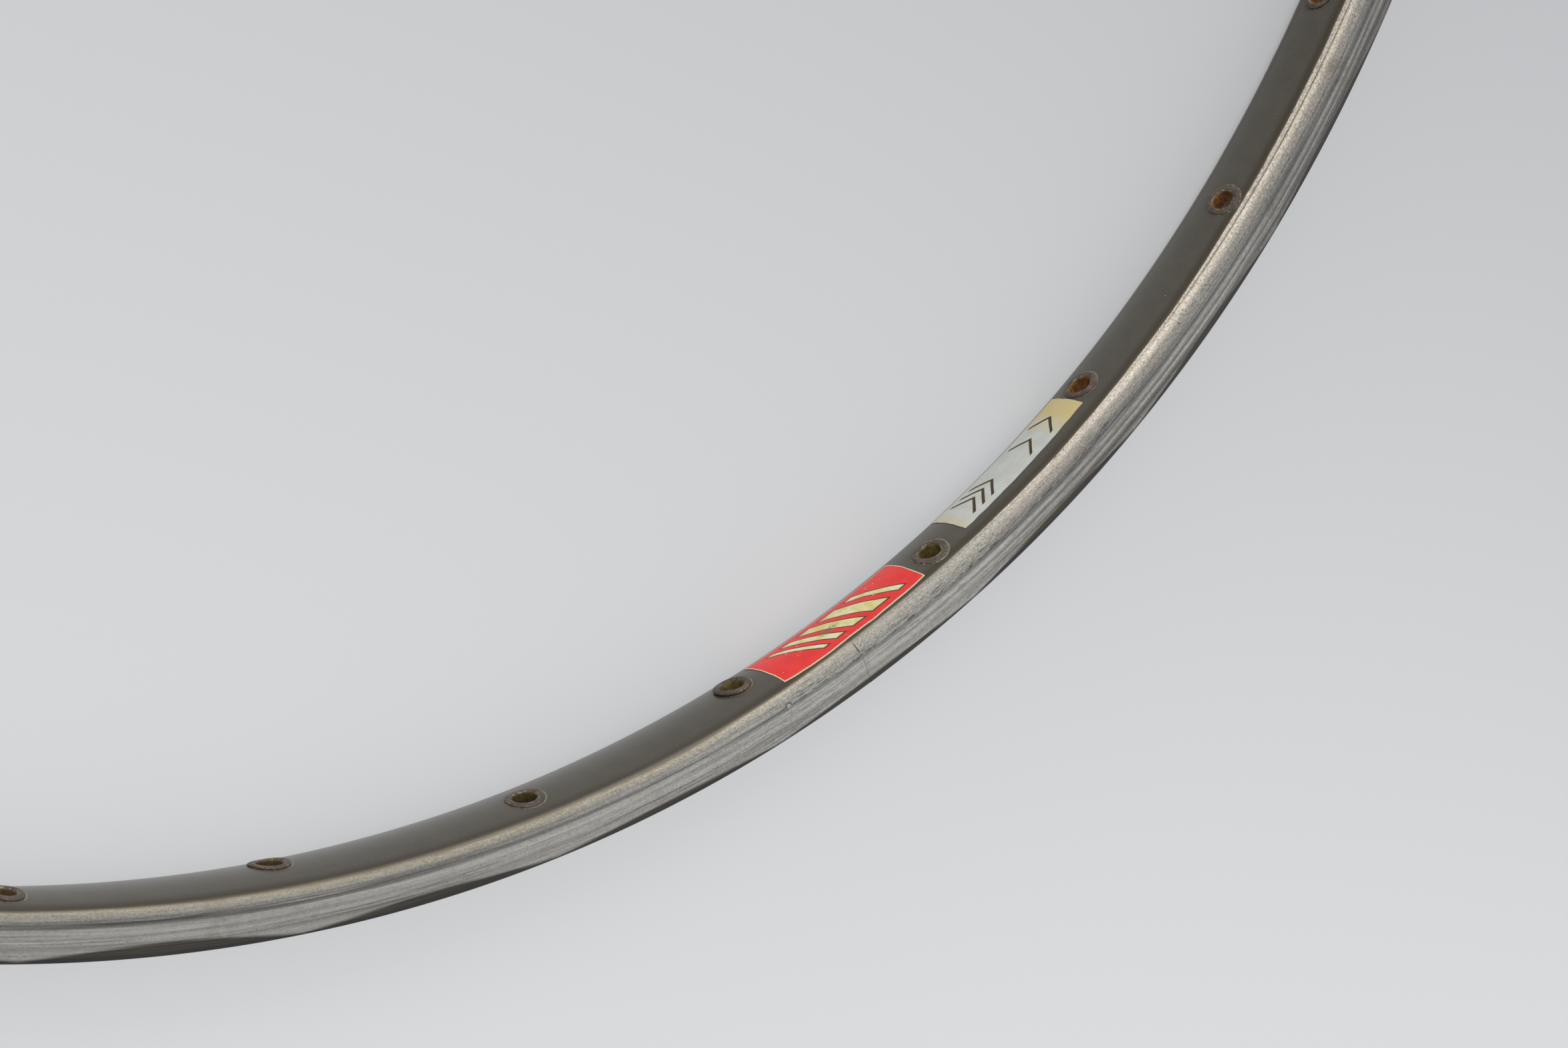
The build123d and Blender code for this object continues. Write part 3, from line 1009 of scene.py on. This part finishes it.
def red_label_material():
    """Red film with slanted cream bars, chipped and scuffed."""
    s = Shader("red_label")
    place = s.place_mm()
    along, across = s.label_place()
    mottle = s.noise(place, 0.35, 4.0, 0.6)
    fine = s.noise(place, 3.0, 3.0, 0.6)
    colour = s.mix(s.ease(mottle, 0.3, 0.7), *RED)
    cream = s.mix(s.ease(mottle, 0.35, 0.65), *RED_CREAM)
    slant = s.less(along, s.times(across, RED_BAR_SLANT))
    inked = s.stripe(across, RED_BAR_MIDDLE, 4.6, 0.05)
    barred = s.stripe(across, RED_BAR_MIDDLE, 4.25, 0.05)
    for middle, half in RED_BARS:
        colour = s.paint(colour, RED_INK, s.stripe(slant, middle, half + RED_OUTLINE, 0.06), inked)
        colour = s.paint(colour, cream, s.stripe(slant, middle, half, 0.06), barred)
    from_ends = s.math("MINIMUM", along, s.less(RED_FIELD, along))
    from_sides = s.math("MINIMUM", s.less(across, RED_LOW), s.less(RED_HIGHS[0], across))
    rim = s.add(s.math("MINIMUM", from_ends, from_sides), s.about(fine, 0.25))
    colour = s.paint(colour, RED_BORDER, s.ease(rim, 0.28, 0.19))
    chips = s.less(s.noise(place, 1.3, 4.0, 0.7), s.times(rim, 0.05))
    colour = s.paint(colour, RED_CHIP, s.ease(chips, 0.66, 0.70))
    from_scuff = s.length(s.divide(s.less(along, 17.0), 2.6), s.less(across, 1.2))
    scuff = s.times(s.ease(from_scuff, 1.4, 0.3), s.ease(s.noise(place, 2.2, 4.0, 0.7), 0.43, 0.52))
    colour = s.paint(colour, RED_SCUFF, scuff, 0.9)
    specks = s.ease(s.spots(place, 0.55), 0.16, 0.08)
    speckled = s.ease(s.noise(place, 0.22, 2.0, 0.5), 0.52, 0.60)
    colour = s.paint(colour, RED_SPECK, specks, speckled, 0.8)
    s.set(Base_Color=colour, Roughness=s.line(fine, 0.2, 0.30), Normal=s.bump(fine, 0.15, LABEL_RELIEF))
    return s.material


# Silver label, with chevrons by where their points are
SILVER = (rgb(193, 194, 189), rgb(184, 185, 179))
SILVER_YELLOWED = rgb(198, 180, 126)
SILVER_HALO = rgb(206, 188, 134)
SILVER_INK = rgb(44, 38, 30)
SILVER_CHIP = rgb(120, 108, 86)
CHEVRONS = (8.5, 11.5, 14.5, 27.5, 34.5)
CHEVRON_MIDDLE = -1.6
CHEVRON_HALF_HEIGHT = 3.8


def silver_label_material():
    """Silver film with dark chevrons, yellowed at its ends and round the print."""
    s = Shader("silver_label")
    place = s.place_mm()
    along, across = s.label_place()
    mottle = s.noise(place, 0.3, 4.0, 0.6)
    fine = s.noise(place, 3.0, 3.0, 0.6)
    colour = s.mix(s.ease(mottle, 0.35, 0.65), *SILVER)
    yellowed = s.most(s.ease(along, 4.0, 0.0, 0.0, 0.5), s.ease(along, 28.0, 37.0))
    colour = s.paint(colour, SILVER_YELLOWED, yellowed, s.ease(mottle, 0.15, 0.5, 0.3, 1.0))
    arrow = s.add(along, s.absolute(s.less(across, CHEVRON_MIDDLE)))
    inside = s.stripe(across, CHEVRON_MIDDLE, CHEVRON_HALF_HEIGHT, 0.05)
    halo = s.most(*[s.stripe(arrow, point, 0.8, 0.4) for point in CHEVRONS])
    marks = s.most(*[s.stripe(arrow, point, 0.50, 0.08) for point in CHEVRONS])
    colour = s.paint(colour, SILVER_HALO, halo, inside, s.ease(mottle, 0.35, 0.6, 0.2, 0.8))
    colour = s.paint(colour, SILVER_INK, marks, inside)
    colour = s.paint(colour, SILVER_CHIP, s.ease(s.noise(place, 1.6, 4.0, 0.7), 0.68, 0.71))
    s.set(Base_Color=colour, Metallic=0.25, Roughness=s.line(fine, 0.2, 0.36),
          Normal=s.bump(fine, 0.15, LABEL_RELIEF))
    return s.material


PLUG_METAL = (rgb(150, 149, 146), rgb(186, 184, 180))


def plug_material():
    """Plain aluminium, which the hoop hides."""
    s = Shader("plain_aluminium")
    grain = s.noise(s.place_mm(), 2.0, 4.0, 0.6)
    colour = s.mix(s.ease(grain, 0.3, 0.7), *PLUG_METAL)
    s.set(Base_Color=colour, Metallic=1.0, Roughness=s.line(grain, 0.2, 0.4))
    return s.material


# The floor is in metres. Its colour is paler towards the photo's lower edge, a painted fall-off of
# light
FLOOR_SIZE = 12.0
FLOOR_GAP = 0.0001
PAPER_PAINTED_FALLOFF = (rgb(168, 171, 174), rgb(233, 234, 235))
PAPER_GRAIN = rgb(206, 208, 210)
PALER_WAY = (0.768, -0.640, 0.0)


def floor_material():
    """Paper that camera and glossy rays see partly as evenly lit. The rest keeps the shadow."""
    s = Shader("floor_paper")
    spot = s.node("ShaderNodeTexCoord").outputs["Object"]
    # Painted fall-off of light: the paper's colour grows paler across the floor
    colour = s.mix(s.ease(s.vector("DOT_PRODUCT", spot, PALER_WAY), -0.25, 0.55), *PAPER_PAINTED_FALLOFF)
    s.set(Base_Color=s.paint(colour, PAPER_GRAIN, s.noise(spot, 3.0, 3.0, 0.5), 0.15), Roughness=0.85)
    even = s.node("ShaderNodeEmission")
    s.put(even.inputs["Color"], colour)
    rays = s.node("ShaderNodeLightPath").outputs
    # Far from the rim no lamp shows on the floor
    far_off = s.ease(s.vector("LENGTH", spot), 0.50, 1.00, 0.55, 1.0)
    share = s.most(s.times(rays["Is Camera Ray"], far_off), s.times(rays["Is Glossy Ray"], 0.9),
                   rays["Is Transmission Ray"])
    both = s.node("ShaderNodeMixShader")
    s.put(both.inputs[0], share)
    s.put(both.inputs[1], s.surface.outputs[0])
    s.put(both.inputs[2], even.outputs[0])
    s.put(s.tree.nodes["Material Output"].inputs["Surface"], both.outputs[0])
    return s.material


# Pieces
hoop = make_hoop()
hoop.data.materials.append(HoopShader().build())
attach(hoop, "root")
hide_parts("rim_hoop")

rust = eyelet_material()
for number in range(1, SPOKE_HOLES + 1):
    eyelet = make_eyelet(number)
    eyelet.data.materials.append(rust)
    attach(eyelet, "root")
    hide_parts(f"eyelet_{number:02d}")

red_label = make_label("red_film", RED_ENDS, RED_LOW, RED_HIGHS)
red_label.data.materials.append(red_label_material())
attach(red_label, "root")
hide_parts("label_red")

silver_label = make_label("silver_film", SILVER_ENDS, SILVER_LOW, SILVER_HIGHS)
silver_label.data.materials.append(silver_label_material())
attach(silver_label, "root")
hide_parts("label_silver")

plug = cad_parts["joint_plug"]
plug.data.materials.clear()
plug.data.materials.append(plug_material())

bpy.ops.mesh.primitive_plane_add(size=FLOOR_SIZE, location=(0.0, 0.0, -TRACK_Z * MM - FLOOR_GAP))
floor = bpy.context.object
floor.name = "floor"
floor.data.materials.append(floor_material())

# Light, with places in metres
SKY_COLOUR = (0.98, 0.99, 1.0, 1.0)
SKY_STRENGTH = 0.82
LIT_POINT = Vector((0.3, 0.0, 0.0))

scene = bpy.context.scene
world = bpy.data.worlds.new("studio")
scene.world = world
world.use_nodes = True
sky = world.node_tree.nodes["Background"]
sky.inputs["Color"].default_value = SKY_COLOUR
sky.inputs["Strength"].default_value = SKY_STRENGTH


def soft_box(name, place, width, height, power):
    """Area lamp that faces the labels."""
    lamp = bpy.data.lights.new(name, "AREA")
    lamp.shape = "RECTANGLE"
    lamp.size = width
    lamp.size_y = height
    lamp.energy = power
    holder = bpy.data.objects.new(name, lamp)
    holder.location = place
    holder.rotation_euler = (LIT_POINT - Vector(place)).to_track_quat("-Z", "Y").to_euler()
    scene.collection.objects.link(holder)


soft_box("key_light", (-1.5, 0.95, 0.28), width=2.2, height=0.5, power=15.0)
soft_box("side_light", (-1.2, 0.75, 1.3), width=0.9, height=0.9, power=8.0)

# Camera, at the photo's angle to the rim
CAMERA_PLACE = Vector((-6.919, -331.639, 500.304))
CAMERA_RIGHT = Vector((0.30041839, 0.70894209, 0.638083))
CAMERA_DOWN = Vector((0.84946814, -0.50310327, 0.1590314))
CAMERA_AHEAD = Vector((0.43376569, 0.49425522, -0.75336519))

camera = bpy.data.cameras.new("camera")
camera.sensor_fit = "HORIZONTAL"
camera.sensor_width = 36.0
camera.lens = 77.80
camera.clip_start = 0.01
view = bpy.data.objects.new("camera", camera)
turned = Matrix((CAMERA_RIGHT, -CAMERA_DOWN, -CAMERA_AHEAD)).transposed()
view.matrix_world = Matrix.Translation(CAMERA_PLACE * MM) @ turned.to_4x4()
scene.collection.objects.link(view)
scene.camera = view

scene.view_settings.view_transform = "Standard"
